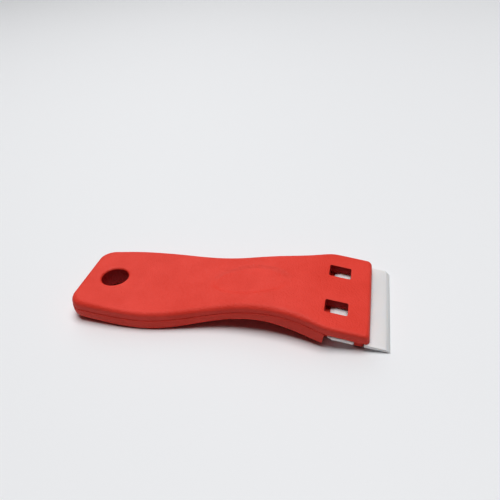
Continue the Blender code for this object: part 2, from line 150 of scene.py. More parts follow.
# Uncoated paper is matte: a rough surface with hardly any shine.
paper, _, paper_shader = start_material("white_paper")
paper_shader.inputs["Base Color"].default_value = linear(PAPER_WHITE)
paper_shader.inputs["Roughness"].default_value = 0.6
paper_shader.inputs["Specular IOR Level"].default_value = 0.3
floor.data.materials.append(paper)
print("floor of", FLOOR_SIDE, "m in", paper.name)

# %% Lamps
def area_light(name, place, target, size, power, colour):
    """A square area light at a place, turned to a target."""
    bpy.ops.object.light_add(type="AREA", location=place)
    light = bpy.context.object
    light.name = name
    light.data.size = size
    light.data.energy = power
    light.data.color = linear(colour)[:3]
    light.rotation_euler = (Vector(target) - Vector(place)).to_track_quat("-Z", "Y").to_euler()
    print(name, "of", power, "W")


area_light("ceiling_light", place=(0.05, 0.15, 1.5), target=(0.0, 0.05, 0.0),
           size=1.0, power=18.2, colour="FFFFFF")
area_light("far_window", place=(-1.2, 2.0, 1.7), target=(0.0, 0.0, 0.0),
           size=1.8, power=13.0, colour="FFFFFF")

# %% The dim room and its pale wall
ROOM_LIGHT = "F4F6FA"
ROOM_STRENGTH = 0.03
WALL_GREY = "DFE0E3"

world = bpy.data.worlds.new("room")
bpy.context.scene.world = world
world.use_nodes = True
tree = world.node_tree
dim_room = tree.nodes["Background"]
dim_room.inputs["Color"].default_value = linear(ROOM_LIGHT)
dim_room.inputs["Strength"].default_value = ROOM_STRENGTH
pale_wall = add_node(tree, "ShaderNodeBackground", inputs={"Color": linear(WALL_GREY)})
ray = add_node(tree, "ShaderNodeLightPath")
# The two shader inputs of a mix have one name, so they are told apart by number.
seen = add_node(tree, "ShaderNodeMixShader", inputs={
    "Fac": ray.outputs["Is Camera Ray"],
    1: dim_room.outputs["Background"], 2: pale_wall.outputs["Background"]})
tree.links.new(seen.outputs["Shader"], tree.nodes["World Output"].inputs["Surface"])
view = bpy.context.scene.view_settings
view.view_transform = "Standard"
view.look = "Medium High Contrast"
print("shown with", view.view_transform, "and", view.look)

# %% [markdown]
# ## The sizes that the pieces share
#
# Everything is in millimetres, times MM to make metres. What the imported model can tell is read
# from it: the ends of the handle, the length of the blade, the place of the hinge. The rest are
# the handle's own driving sizes: how wide it is at the tail, swell and waist, how thick its shell
# is, and how high the line between the two halves runs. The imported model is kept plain, so a few
# of these differ from it by some tenths of a millimetre where the photo shows more: the head is a
# touch narrower than the blade, the waist is wider, the tail is thicker, and the blade is thinner
# and lies steeper.

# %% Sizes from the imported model
TAIL_SETBACK = 0.25 * MM
HEAD_SETBACK = 0.1 * MM
upper_low, upper_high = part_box("upper_half")
blade_low, blade_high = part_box("blade")
TAIL_X, FRONT_X = upper_low.x + TAIL_SETBACK, upper_high.x
BLADE_LENGTH = blade_high.y - blade_low.y
HEAD_HALF_WIDTH = BLADE_LENGTH / 2 - HEAD_SETBACK
BLADE_TIP_X = blade_high.x
PIVOT = Vector(frame["joints"][0]["pos_m"])
pivot_axis = Vector(frame["joints"][0]["axis"])
PIVOT_TILT = math.atan2(pivot_axis.x, pivot_axis.z)
print("handle from", round(TAIL_X / MM, 1), "to", round(FRONT_X / MM, 1),
      "hinge at", [round(part / MM, 1) for part in PIVOT])

# %% Driving sizes of the handle
TAIL_HALF_WIDTH = 14.5 * MM
TAIL_FLARE = 0.15
TAIL_CORNER = 5.8 * MM
SWELL_X = TAIL_X + 26.0 * MM
SWELL_HALF_WIDTH = 17.1 * MM
WAIST_X = FRONT_X - 42.5 * MM
WAIST_HALF_WIDTH = 13.6 * MM
HEAD_ROOT_X = FRONT_X - 13.3 * MM
HEAD_FLARE = 0.38
HEAD_SHOULDER = 2.4 * MM
HEAD_CORNER = 1.6 * MM
FLAT_RADIUS = 20.5 * MM
CROWN_RADIUS = 62.0 * MM
CROWN_RISE = 6.25 * MM
UPPER_WALL = 2.9 * MM
TAIL_THICKENING = 0.2 * MM
CROWN_DROP = 0.35 * MM
CROWN_END = WAIST_X + 12.0 * MM
SEAM_GAP = 0.07 * MM
print("widths in mm: swell", round(2 * SWELL_HALF_WIDTH / MM, 1),
      "waist", round(2 * WAIST_HALF_WIDTH / MM, 1), "head", round(2 * HEAD_HALF_WIDTH / MM, 1))

# %% Driving sizes of the underside
TAIL_LIFT = 0.8 * MM
REST_X = TAIL_X + 25.5 * MM
REST_LENGTH = 4.0 * MM
ARCH_X = FRONT_X - 34.5 * MM
ARCH_HEIGHT = 4.15 * MM
JAW_FRONT_X = FRONT_X - 1.2 * MM
JAW_TIP_LIFT = 0.35 * MM
JAW_ROOT_HEIGHT = 1.2 * MM
print("arch summit in mm:", round(ARCH_HEIGHT / MM, 2), "at x", round(ARCH_X / MM, 1))

# %% Driving sizes of the blade
BLADE_DEPTH = 19.05 * MM
BLADE_THICKNESS = 1.0 * MM
BLADE_ANGLE = math.radians(12.0)
SEAT_GAP = 0.3 * MM
FRONT_GAP = 0.03 * MM
BLADE_BACK_X = BLADE_TIP_X - BLADE_DEPTH * math.cos(BLADE_ANGLE)
BLADE_MIDDLE_X = (BLADE_TIP_X + BLADE_BACK_X) / 2
NECK_X = BLADE_BACK_X - 1.5 * MM
print("blade from", round(BLADE_BACK_X / MM, 1), "to", round(BLADE_TIP_X / MM, 1), "mm")

# %% [markdown]
# ## Curves that everything follows
#
# A smooth handle can be drawn with one helper: a curve between two points that leaves each of
# them at a chosen slope. Strung together, a few of these give the half width of the handle in
# plan. The same helper gives the height of the line between the halves, but measured on circles
# about the hinge, so that one half can turn on the other without binding. Over the blade that
# line comes slowly nearer to it, until the upper half all but touches the blade at the front and
# so holds it down. The outer face keeps nearly the same height above the line, and between tail
# and head it falls a little towards its rims.

# %% The plan of the handle
def curve_between(x, start, end, start_slope=0.0, end_slope=0.0):
    """Height at x of the smooth curve between two (x, height) points with the given slopes."""
    run = end[0] - start[0]
    t = (x - start[0]) / run
    blend = t * t * (3 - 2 * t)
    start_part = start_slope * run * t * (1 - t) ** 2
    end_part = end_slope * run * t * t * (t - 1)
    return start[1] * (1 - blend) + end[1] * blend + start_part + end_part


def eased(x, start, end):
    """A share that goes smoothly from 0 at start to 1 at end, and stays there."""
    return curve_between(min(max(x, start), end), (start, 0.0), (end, 1.0))


def half_width(x):
    """Half the handle's width at x."""
    swell = (SWELL_X, SWELL_HALF_WIDTH)
    waist = (WAIST_X, WAIST_HALF_WIDTH)
    neck = (HEAD_ROOT_X - HEAD_SHOULDER, HEAD_HALF_WIDTH - HEAD_FLARE * HEAD_SHOULDER)
    head = (HEAD_ROOT_X + HEAD_SHOULDER, HEAD_HALF_WIDTH)
    if x <= swell[0]:
        return curve_between(x, (TAIL_X, TAIL_HALF_WIDTH), swell, TAIL_FLARE, 0.0)
    if x <= waist[0]:
        return curve_between(x, swell, waist)
    if x <= neck[0]:
        return curve_between(x, waist, neck, 0.0, HEAD_FLARE)
    if x <= head[0]:
        return curve_between(x, neck, head, HEAD_FLARE, 0.0)
    return HEAD_HALF_WIDTH


print("half widths in mm:", [round(half_width(x * MM) / MM, 1) for x in range(-50, 50, 10)])

# %% The line between the halves
def blade_top(x):
    """Height of the blade's upper face at x."""
    return (BLADE_TIP_X - x) * math.tan(BLADE_ANGLE) + BLADE_THICKNESS / math.cos(BLADE_ANGLE)


def rise_above_tilt(x, z):
    """Height of the point (x, z) above the tilted plane through the hinge."""
    return (x - PIVOT.x) * math.sin(PIVOT_TILT) + (z - PIVOT.z) * math.cos(PIVOT_TILT)


def closing(x):
    """How much nearer the upper half comes to the blade between the blade's back and the front."""
    share = max(x - BLADE_BACK_X, 0.0) / (FRONT_X - BLADE_BACK_X)
    return (SEAT_GAP - FRONT_GAP) * share ** 2


def seam_rise(radius):
    """Height of the upper half's mating face above that plane, at a radius from the hinge."""
    blade_half = BLADE_LENGTH / 2
    back_run = BLADE_BACK_X - PIVOT.x
    corner = math.hypot(back_run, blade_half)
    corner_rise = rise_above_tilt(BLADE_BACK_X, blade_top(BLADE_BACK_X)) + SEAT_GAP
    fall = math.tan(BLADE_ANGLE - PIVOT_TILT)
    if radius <= FLAT_RADIUS:
        return 0.0
    if radius <= CROWN_RADIUS:
        return curve_between(radius, (FLAT_RADIUS, 0.0), (CROWN_RADIUS, CROWN_RISE))
    if radius <= corner:
        crown = (CROWN_RADIUS, CROWN_RISE)
        return curve_between(radius, crown, (corner, corner_rise), 0.0, -fall * corner / back_run)
    run = math.sqrt(radius ** 2 - blade_half ** 2)
    return corner_rise - fall * (run - back_run) - closing(PIVOT.x + run)


def seam_height(x, y):
    """Height of the upper half's mating face above the floor."""
    run = x - PIVOT.x
    rise = seam_rise(math.hypot(run, y))
    return PIVOT.z - run * math.tan(PIVOT_TILT) + rise / math.cos(PIVOT_TILT)


print("line heights in mm:", [round(seam_height(x * MM, 0) / MM, 1) for x in range(-50, 50, 10)])

# %% The two outer faces
def top_height(x):
    """Height of the upper half's outer face along its middle line."""
    thickening = TAIL_THICKENING * (1 - eased(x, TAIL_X, SWELL_X))
    return seam_height(x, half_width(x)) + UPPER_WALL + thickening + closing(x)


def crown_drop(x, y):
    """How far the outer face falls from its middle line to its rim, between tail and head."""
    crown = eased(x, SWELL_X, WAIST_X) * (1 - eased(x, CROWN_END, HEAD_ROOT_X))
    return CROWN_DROP * crown * (y / half_width(x)) ** 2


def bottom_height(x):
    """Height of the lower half's outer face, flat on the floor where the handle rests."""
    rest_end = REST_X + REST_LENGTH
    arch_top = (ARCH_X, ARCH_HEIGHT)
    neck = (NECK_X, JAW_ROOT_HEIGHT)
    jaw_slope = (JAW_TIP_LIFT - JAW_ROOT_HEIGHT) / (JAW_FRONT_X - NECK_X)
    if x <= REST_X:
        return curve_between(x, (TAIL_X, TAIL_LIFT), (REST_X, 0.0))
    if x <= rest_end:
        return 0.0
    if x <= arch_top[0]:
        return curve_between(x, (rest_end, 0.0), arch_top)
    if x <= neck[0]:
        return curve_between(x, arch_top, neck, 0.0, jaw_slope)
    return neck[1] + (x - neck[0]) * jaw_slope


print("top heights in mm:", [round(top_height(x * MM) / MM, 1) for x in range(-50, 50, 10)])

# %% [markdown]
# ## Working in edit mode from a script
#
# By hand, a modeller clicks on an edge and presses a key. A script has no mouse, so it says which
# edges it means by a rule, such as all the edges of the outer rim. The helpers here open one
# piece, select by such a rule, slice the piece with planes, and carve one piece with another.
# Every step that follows is then one of Blender's own operators, as it would be by hand. What the
# helpers do is seen in the cells that use them.

# %% Select by a rule
TINY = 0.01 * MM


def edit(piece):
    """Select only this piece and open it in edit mode."""
    bpy.ops.object.select_all(action="DESELECT")
    piece.select_set(True)
    bpy.context.view_layer.objects.active = piece
    bpy.ops.object.mode_set(mode="EDIT")


def leave_edit():
    """Go back to object mode."""
    bpy.ops.object.mode_set(mode="OBJECT")


def pick(piece, kind, rule):
    """Select the VERT, EDGE or FACE items of the open piece that pass a rule, and nothing else."""
    bpy.ops.mesh.select_mode(type=kind)
    bpy.ops.mesh.select_all(action="DESELECT")
    mesh = bmesh.from_edit_mesh(piece.data)
    mesh.normal_update()
    items = {"VERT": mesh.verts, "EDGE": mesh.edges, "FACE": mesh.faces}[kind]
    chosen = [item for item in items if rule(item)]
    for item in chosen:
        item.select_set(True)
    mesh.select_flush_mode()
    bmesh.update_edit_mesh(piece.data)
    return len(chosen)


# %% Slice and bevel
def slice_piece(places, normal):
    """Slice the whole open piece with planes through these places."""
    for place in places:
        bpy.ops.mesh.select_all(action="SELECT")
        bpy.ops.mesh.bisect(plane_co=place, plane_no=normal, threshold=TINY)


def bevel_edges(width, segments):
    """Round the selected edges."""
    bpy.ops.mesh.bevel(offset=width, offset_type="OFFSET", segments=segments, affect="EDGES",
                       loop_slide=True, clamp_overlap=False)


# %% Blocks, and modifiers made final
def add_block(low, high):
    """A box between two corners."""
    low, high = Vector(low), Vector(high)
    bpy.ops.mesh.primitive_cube_add(size=1, location=(low + high) / 2, scale=high - low)
    block = bpy.context.object
    bpy.ops.object.transform_apply(location=True, rotation=True, scale=True)
    return block


def apply_modifier(piece, modifier):
    """Make what a modifier does to a piece final."""
    bpy.context.view_layer.objects.active = piece
    bpy.ops.object.modifier_apply(modifier=modifier.name)


def carve(piece, tool, operation="DIFFERENCE"):
    """Cut a tool out of a piece, or weld it on, and remove the tool."""
    modifier = piece.modifiers.new(tool.name, "BOOLEAN")
    modifier.object = tool
    modifier.operation = operation
    modifier.solver = "EXACT"
    apply_modifier(piece, modifier)
    bpy.data.objects.remove(tool)


def round_rim(piece, rule, width_at, segments):
    """Round the edges of a rule, each by the width that belongs to its place along X."""
    edit(piece)
    pick(piece, "EDGE", rule)
    leave_edit()
    widths = {edge.index: width_at(sum(piece.data.vertices[v].co.x for v in edge.vertices) / 2)
              for edge in piece.data.edges if edge.select}
    widest = max(widths.values())
    weights = piece.data.attributes.new("bevel_weight_edge", "FLOAT", "EDGE")
    for index, width in widths.items():
        weights.data[index].value = width / widest
    modifier = piece.modifiers.new("rim", "BEVEL")
    modifier.limit_method = "WEIGHT"
    modifier.width = widest
    modifier.segments = segments
    modifier.use_clamp_overlap = False
    apply_modifier(piece, modifier)
    piece.data.attributes.remove(piece.data.attributes["bevel_weight_edge"])
    print(piece.name, "rim of", len(widths), "edges, up to", round(widest / MM, 2), "mm")


# %% Rules that say which edges are meant
FLAT = 0.9
ROUND_SLACK = 0.1 * MM


def lies_flat(face):
    """Whether a face looks up or down, more or less."""
    return abs(face.normal.z) > FLAT


def rim_at(height, inside=None):
    """A rule for the edges where the flat face at a height meets upright walls."""
    def rule(edge):
        level = all(abs(vert.co.z - height) < TINY for vert in edge.verts)
        meets_wall = sorted(map(lies_flat, edge.link_faces)) == [False, True]
        return level and meets_wall and (inside is None or inside(edge))
    return rule


def on_circle(x, y, radius):
    """Whether a point in plan lies on a circle about the hinge."""
    return abs(math.hypot(x - PIVOT.x, y) - radius) < ROUND_SLACK


# %% [markdown]
# ## A flat plate in the shape of the handle
#
# Both halves of the handle share one outline. It is tempting to model them arched at once, but
# holes and rounded edges are far easier on a flat plate. So each half starts flat: a circle with
# as many vertices as the outline has points, each moved to its place, then extruded to a plate.
# Only at the end is the plate sliced into fine strips and every vertex lifted onto the arch.

# %% The outline in plan
STATION_STEP = 1.0 * MM
TAIL_ARC_STEPS = 14
HEAD_ARC_STEPS = 8


def arc(centre, radius, start, end, steps):
    """Points on an arc in plan, from one angle to another in degrees."""
    angles = [math.radians(start + (end - start) * step / steps) for step in range(steps + 1)]
    return [(centre[0] + radius * math.cos(a), centre[1] + radius * math.sin(a)) for a in angles]


def stations(start, end, step=STATION_STEP):
    """Evenly spaced places from start to end, both included."""
    count = max(1, round((end - start) / step))
    return [start + (end - start) * index / count for index in range(count + 1)]


def tail_and_side(end_x, outset=0.0):
    """The far side of the outline, from the middle of the tail to the side at end_x."""
    lean = math.atan(TAIL_FLARE)
    corner_x = TAIL_X + TAIL_CORNER
    touch_x = corner_x - TAIL_CORNER * math.sin(lean)
    corner_y = half_width(touch_x) - TAIL_CORNER * math.cos(lean)
    corner = arc((corner_x, corner_y), TAIL_CORNER + outset, 180, 90 + math.degrees(lean),
                 TAIL_ARC_STEPS)
    return corner + [(x, half_width(x) + outset) for x in stations(corner_x, end_x)[1:]]


def both_sides(far_side):
    """The closed outline, from its far side and the same points turned over the middle line."""
    return far_side + [(x, -y) for x, y in reversed(far_side) if y > TINY]


print("points on the far side:", len(tail_and_side(HEAD_ROOT_X)))

# %% The plate
def add_plate(name, outline, low, high):
    """A flat plate between two heights with the given outline."""
    bpy.ops.mesh.primitive_circle_add(vertices=len(outline), fill_type="NGON")
    piece = bpy.context.object
    piece.name = name
    for vert, (x, y) in zip(piece.data.vertices, outline):
        vert.co = (x, y, high)
    edit(piece)
    bpy.ops.mesh.select_all(action="SELECT")
    bpy.ops.mesh.extrude_region_move(TRANSFORM_OT_translate={"value": (0, 0, low - high)})
    bpy.ops.mesh.select_all(action="SELECT")
    bpy.ops.mesh.normals_make_consistent(inside=False)
    leave_edit()
    return piece


# %% [markdown]
# ## The upper half
#
# The upper half is the shell under the user's palm: a soft-edged plate with two nearly square
# windows over the blade and a hanging hole. In the flat it is a plain job of rounding and
# cutting. The rim is roundest at the tail, which lies in the palm, and tightest at the head, so
# each of its edges is bevelled by a weight that belongs to its place. A window is a small box
# with rounded corners that is cut away, after which the window's own edge is bevelled very
# slightly, as a mould leaves it.

# %% Upper plate and its rounded rim
TAIL_FILLET = 2.2 * MM
SWELL_FILLET = 1.4 * MM
WAIST_FILLET = 1.8 * MM
HEAD_FILLET = 0.95 * MM
SWELL_FILLET_X = TAIL_X + 16.0 * MM
WAIST_FILLET_END = WAIST_X + 20.0 * MM
FILLET_PLACES = ((TAIL_X, TAIL_FILLET), (SWELL_FILLET_X, SWELL_FILLET),
                 (WAIST_X, WAIST_FILLET), (WAIST_FILLET_END, WAIST_FILLET),
                 (HEAD_ROOT_X, HEAD_FILLET), (FRONT_X, HEAD_FILLET))
PARTING_FILLET = 0.08 * MM


def top_fillet(x):
    """Radius of the top rim, which is roundest at the tail and tightest at the head."""
    for start, end in zip(FILLET_PLACES, FILLET_PLACES[1:]):
        if x <= end[0]:
            return curve_between(max(x, TAIL_X), start, end)
    return HEAD_FILLET


front_corner = (FRONT_X - HEAD_CORNER, HEAD_HALF_WIDTH - HEAD_CORNER)
upper_side = tail_and_side(HEAD_ROOT_X + HEAD_SHOULDER)
upper_side += arc(front_corner, HEAD_CORNER, 90, 0, HEAD_ARC_STEPS)
upper = add_plate("upper_half_fine", both_sides(upper_side), -UPPER_WALL, 0.0)
round_rim(upper, rim_at(0.0), top_fillet, segments=7)
edit(upper)
print("lower rim edges:", pick(upper, "EDGE", rim_at(-UPPER_WALL)))
bevel_edges(PARTING_FILLET, segments=2)
leave_edit()

# %% Windows over the blade
WINDOW_FRONT_X = FRONT_X - 6.7 * MM
WINDOW_LENGTH = 7.1 * MM
WINDOW_INNER = 6.1 * MM
WINDOW_WIDTH = 5.7 * MM
WINDOW_CORNER = 0.6 * MM
WINDOW_LIP = 0.2 * MM

for side in (-1, 1):
    near_y, far_y = sorted((side * WINDOW_INNER, side * (WINDOW_INNER + WINDOW_WIDTH)))
    window = add_block((WINDOW_FRONT_X - WINDOW_LENGTH, near_y, -2 * UPPER_WALL),
                       (WINDOW_FRONT_X, far_y, UPPER_WALL))
    edit(window)
    pick(window, "EDGE", lambda edge: abs(edge.verts[0].co.z - edge.verts[1].co.z) > UPPER_WALL)
    bevel_edges(WINDOW_CORNER, segments=5)
    leave_edit()
    carve(upper, window)
print("two windows in mm:", [round(side / MM, 1) for side in (WINDOW_LENGTH, WINDOW_WIDTH)])

# %% The windows' edges
def in_window(x, y):
    """Whether a point in plan lies in a window or on its border."""
    along_x = abs(x - WINDOW_FRONT_X + WINDOW_LENGTH / 2)
    along_y = abs(abs(y) - WINDOW_INNER - WINDOW_WIDTH / 2)
    return along_x < WINDOW_LENGTH / 2 + TINY and along_y < WINDOW_WIDTH / 2 + TINY


def at_window(edge):
    """Whether an edge lies on the border of a window."""
    return all(in_window(vert.co.x, vert.co.y) for vert in edge.verts)


edit(upper)
print("window edges:", pick(upper, "EDGE", rim_at(0.0, at_window)))
bevel_edges(WINDOW_LIP, segments=3)
leave_edit()

# %% [markdown]
# The hanging hole is also the hinge. Under the plate the hole goes on as a short tube, the boss,
# that turns in the lower half and is kept in by a lip at its end. A small key on the boss stops
# the swing at both ends. The boss starts as a cylinder whose lower cap is extruded and scaled,
# step by step, to make the lip. It is welded on before the hole is drilled, so one cut goes
# through both.

# %% The boss under the plate
HOLE_RADIUS = 4.65 * MM
HOLE_FLARE = 0.8 * MM
BOSS_WALL = 1.55 * MM
TURNING_CLEARANCE = 0.3 * MM
LIP_REACH = 0.6 * MM
LIP_HEIGHT = 0.9 * MM
LIP_RECESS = 0.4 * MM
ROUND_STEPS = 96
OVERSHOOT = 1.0 * MM
boss_radius = HOLE_RADIUS + BOSS_WALL
boss_drop = PIVOT.z - bottom_height(PIVOT.x) - LIP_RECESS


def add_cylinder(radius, low, high):
    """A cylinder on the hinge's place between two heights."""
    bpy.ops.mesh.primitive_cylinder_add(vertices=ROUND_STEPS, radius=radius, depth=high - low,
                                        location=(PIVOT.x, 0.0, (high + low) / 2))
    tool = bpy.context.object
    bpy.ops.object.transform_apply(location=True, rotation=True, scale=True)
    return tool


def extrude_cap(drop, scale):
    """Extrude the selected cap of a cylinder down, then scale it about the hinge."""
    bpy.ops.mesh.extrude_region_move(TRANSFORM_OT_translate={"value": (0, 0, -drop)})
    bpy.ops.transform.resize(value=(scale, scale, 1), center_override=(PIVOT.x, 0.0, 0.0))


boss_low = -UPPER_WALL - boss_drop
boss = add_cylinder(boss_radius, boss_low + LIP_HEIGHT, -UPPER_WALL / 2)
edit(boss)
pick(boss, "FACE", lambda face: face.normal.z < -FLAT)
lip_scale = (boss_radius + LIP_REACH) / boss_radius
extrude_cap(0.0, lip_scale)
extrude_cap(LIP_HEIGHT / 2, 1.0)
extrude_cap(LIP_HEIGHT / 2, 1 / lip_scale)
leave_edit()
carve(upper, boss, "UNION")
print("boss of radius", round(boss_radius / MM, 2), "mm, down by", round(boss_drop / MM, 2), "mm")

# %% The stop key, then the hole through plate and boss
KEY_REACH = 1.6 * MM
KEY_WIDTH = 2.4 * MM
KEY_HEIGHT = 1.4 * MM
KEY_ROOT_SHARE = 2 / 3
key_root = boss_radius - BOSS_WALL / 2
key_tip = boss_radius + KEY_REACH
key_low, key_high = -UPPER_WALL - KEY_HEIGHT, -UPPER_WALL * KEY_ROOT_SHARE
key = add_block((PIVOT.x + key_root, -KEY_WIDTH / 2, key_low),
                (PIVOT.x + key_tip, KEY_WIDTH / 2, key_high))
carve(upper, key, "UNION")
carve(upper, add_cylinder(HOLE_RADIUS, boss_low - OVERSHOOT, OVERSHOOT))


def at_hole(edge):
    """Whether an edge lies on the hanging hole's circle."""
    return all(on_circle(vert.co.x, vert.co.y, HOLE_RADIUS) for vert in edge.verts)


edit(upper)
print("hole edges:", pick(upper, "EDGE", rim_at(0.0, at_hole)))
bevel_edges(HOLE_FLARE, segments=5)
leave_edit()

# %% [markdown]
# Now the flat plate is sliced and arched. The slices run across every millimetre, and along the
# handle a little wider apart. The faces over the thumb dish are divided again, because that
# hollow is only half a millimetre deep and its rim shows just as a soft change of light. Then
# each vertex is lifted: at the top by the height of the outer face, underneath by the mating
# face, and on the walls by a share of both. The front wall also stands out a little at its foot,
# because a moulded wall leans so that it lets go of its mould.

# %% The thumb dish
DISH_X = FRONT_X - 39.4 * MM
DISH_LENGTH = 28.0 * MM
DISH_WIDTH = 15.5 * MM
DISH_DEPTH = 0.55 * MM
DISH_RIM = 1.4 * MM
DISH_SURROUND = 1.1


def dish_reach(x, y):
    """How far out a point in plan lies, from 0 in the middle of the dish to 1 on its border."""
    return math.hypot((x - DISH_X) / DISH_LENGTH, y / DISH_WIDTH) * 2


def dish_drop(x, y):
    """Depth of the thumb dish: full inside the oval, and easing out over its rim."""
    inward = (1 - dish_reach(x, y)) * DISH_WIDTH / 2 / DISH_RIM
    return DISH_DEPTH * eased(inward, 0.0, 1.0)


def over_dish(face):
    """A rule for the faces of the top that lie over the dish or its rim."""
    middle = face.calc_center_median()
    on_top = face.normal.z > FLAT and middle.z > -TINY
    return on_top and dish_reach(middle.x, middle.y) < DISH_SURROUND


print("dish in mm:", [round(side / MM, 2) for side in (DISH_LENGTH, DISH_WIDTH, DISH_DEPTH)])

# %% Slice and arch the upper half
LENGTHWISE_STEP = 1.6 * MM
FRONT_DRAFT = 0.2 * MM


def across(start, end, step):
    """Places along X for slices across the handle."""
    return [(x, 0.0, 0.0) for x in stations(start, end, step)[1:-1]]


def along(half, step):
    """Places along Y for slices along the handle."""
    return [(0.0, y, 0.0) for y in stations(-half, half, step)[1:-1]]


def front_toe(x, z):
    """How far the front wall stands out at a height, so that it leans and lets go of its mould."""
    depth = min(-z / UPPER_WALL, 1.0)
    return FRONT_DRAFT * eased(x, FRONT_X - HEAD_CORNER, FRONT_X) * depth


def arch_upper(place):
    """Where a point of the flat upper half lies on the arched one."""
    x, y, z = place
    x += front_toe(x, z)
    top = top_height(x) - crown_drop(x, y) - dish_drop(x, y)
    foot = UPPER_WALL + seam_height(x, y)
    depth = min(-z / UPPER_WALL, 1.0)
    return Vector((x, y, z + top * (1 - depth) + foot * depth))


def arch(piece, rule):
    """Move every vertex of a piece by a rule."""
    for vert in piece.data.vertices:
        vert.co = rule(vert.co)


edit(upper)
slice_piece(across(TAIL_X, FRONT_X, STATION_STEP), (1, 0, 0))
slice_piece(along(HEAD_HALF_WIDTH, LENGTHWISE_STEP), (0, 1, 0))
print("faces over the dish:", pick(upper, "FACE", over_dish))
bpy.ops.mesh.subdivide(number_cuts=2)
leave_edit()
arch(upper, arch_upper)

# %% Check a piece and shade it
SMOOTH_ANGLE = math.radians(35)


def close_up(piece):
    """Face the shell outwards, shade it smooth up to real edges, and say whether it is closed."""
    edit(piece)
    bpy.ops.mesh.select_all(action="SELECT")
    bpy.ops.mesh.remove_doubles(threshold=TINY / 10)
    bpy.ops.mesh.normals_make_consistent(inside=False)
    mesh = bmesh.from_edit_mesh(piece.data)
    open_edges = sum(not edge.is_manifold for edge in mesh.edges)
    leave_edit()
    bpy.ops.object.shade_smooth_by_angle(angle=SMOOTH_ANGLE)
    print(piece.name, len(piece.data.polygons), "faces,", open_edges, "edges that aren't closed")


close_up(upper)

# %% [markdown]
# The moulding is grained all over. The walls of the hanging hole and of the windows also carry
# painted shade: their colour is a deeper red that stands in for the shade deep in those recesses.
# So that the material can tell them apart, their faces are marked with a value of their own. They
# are found by rule, like every other face: upright, and on the hole's circle or on a window's
# border.

# %% Mark the walls that get painted shade
STEEP = 0.3


def gets_painted_shade(face):
    """Whether a face is a wall of the hanging hole or of a window."""
    x, y, _ = face.center
    return abs(face.normal.z) < STEEP and (on_circle(x, y, HOLE_RADIUS) or in_window(x, y))


# These faces get painted shade: a deeper red in the material stands in for the shade in the hole
# and windows.
marks = [float(gets_painted_shade(face)) for face in upper.data.polygons]
upper.data.attributes.new("painted_shade_mask", "FLOAT", "FACE").data.foreach_set("value", marks)
print("pin walls:", int(sum(marks)), "faces")

# %% [markdown]
# ## The lower half
#
# The lower half is the shell that touches the table. Towards the head its full width ends in a
# step, the neck, and only a thin jaw goes on under the blade. From each side of the jaw a short
# wing reaches out and carries a lug, which stands in the notch at the blade's end and takes the
# push of the stroke. The wings are thin and end short of the blade, so little of them shows from
# the side. A bevel is easy round a plate that only bulges outwards and hard in an inner corner,
# so handle, jaw, wings and lugs are each rounded on their own and only then joined.

# %% Lower plate and its rims
BOTTOM_FILLET = 1.1 * MM
TAIL_BOTTOM_FILLET = 2.2 * MM
SIDE_STEP = 0.2 * MM
SEAM_CHAMFER = 0.2 * MM
LOWER_THICKNESS = PIVOT.z - SEAM_GAP - bottom_height(PIVOT.x)


def bottom_fillet(x):
    """Radius of the bottom rim, which is rounder at the tail."""
    share = curve_between(min(x, REST_X), (TAIL_X, 0.0), (REST_X, 1.0))
    return TAIL_BOTTOM_FILLET + (BOTTOM_FILLET - TAIL_BOTTOM_FILLET) * share


# The fillet of the last corner needs more room than one station, so the one before it is left out.
lower_side = tail_and_side(NECK_X, SIDE_STEP)
del lower_side[-2]
lower = add_plate("lower_half_fine", both_sides(lower_side), 0.0, LOWER_THICKNESS)
round_rim(lower, rim_at(0.0), bottom_fillet, segments=6)
edit(lower)
print("seam rim edges:", pick(lower, "EDGE", rim_at(LOWER_THICKNESS)))
bevel_edges(SEAM_CHAMFER, segments=2)
leave_edit()

# %% Jaw
JAW_HALF_WIDTH = 15.5 * MM
JAW_CORNER = 1.2 * MM
JAW_ROOT = 2.0 * MM
JAW_FILLET = 0.5 * MM
JAW_INSET = 0.05 * MM


def jaw_seat(x):
    """Height of the jaw's face under the blade."""
    return blade_top(x) - (BLADE_THICKNESS + SEAT_GAP) / math.cos(BLADE_ANGLE)


def outside_root(edge):
    """Whether an edge of the jaw lies outside the upright plane at its root."""
    return max(abs(vert.co.x - (NECK_X - JAW_ROOT)) for vert in edge.verts) > TINY


JAW_THICKNESS = jaw_seat(NECK_X) - JAW_ROOT_HEIGHT
jaw_corner = (JAW_FRONT_X - JAW_CORNER, JAW_HALF_WIDTH - JAW_CORNER)
jaw_side = [(NECK_X - JAW_ROOT, JAW_HALF_WIDTH)]
jaw_side += arc(jaw_corner, JAW_CORNER, 90, 0, HEAD_ARC_STEPS)
jaw = add_plate("jaw", both_sides(jaw_side), JAW_INSET, JAW_THICKNESS)
edit(jaw)
print("jaw", round(JAW_THICKNESS / MM, 2), "mm thick, edges rounded:",
      pick(jaw, "EDGE", rim_at(JAW_INSET, outside_root)))
bevel_edges(JAW_FILLET, segments=4)
leave_edit()
carve(lower, jaw, "UNION")

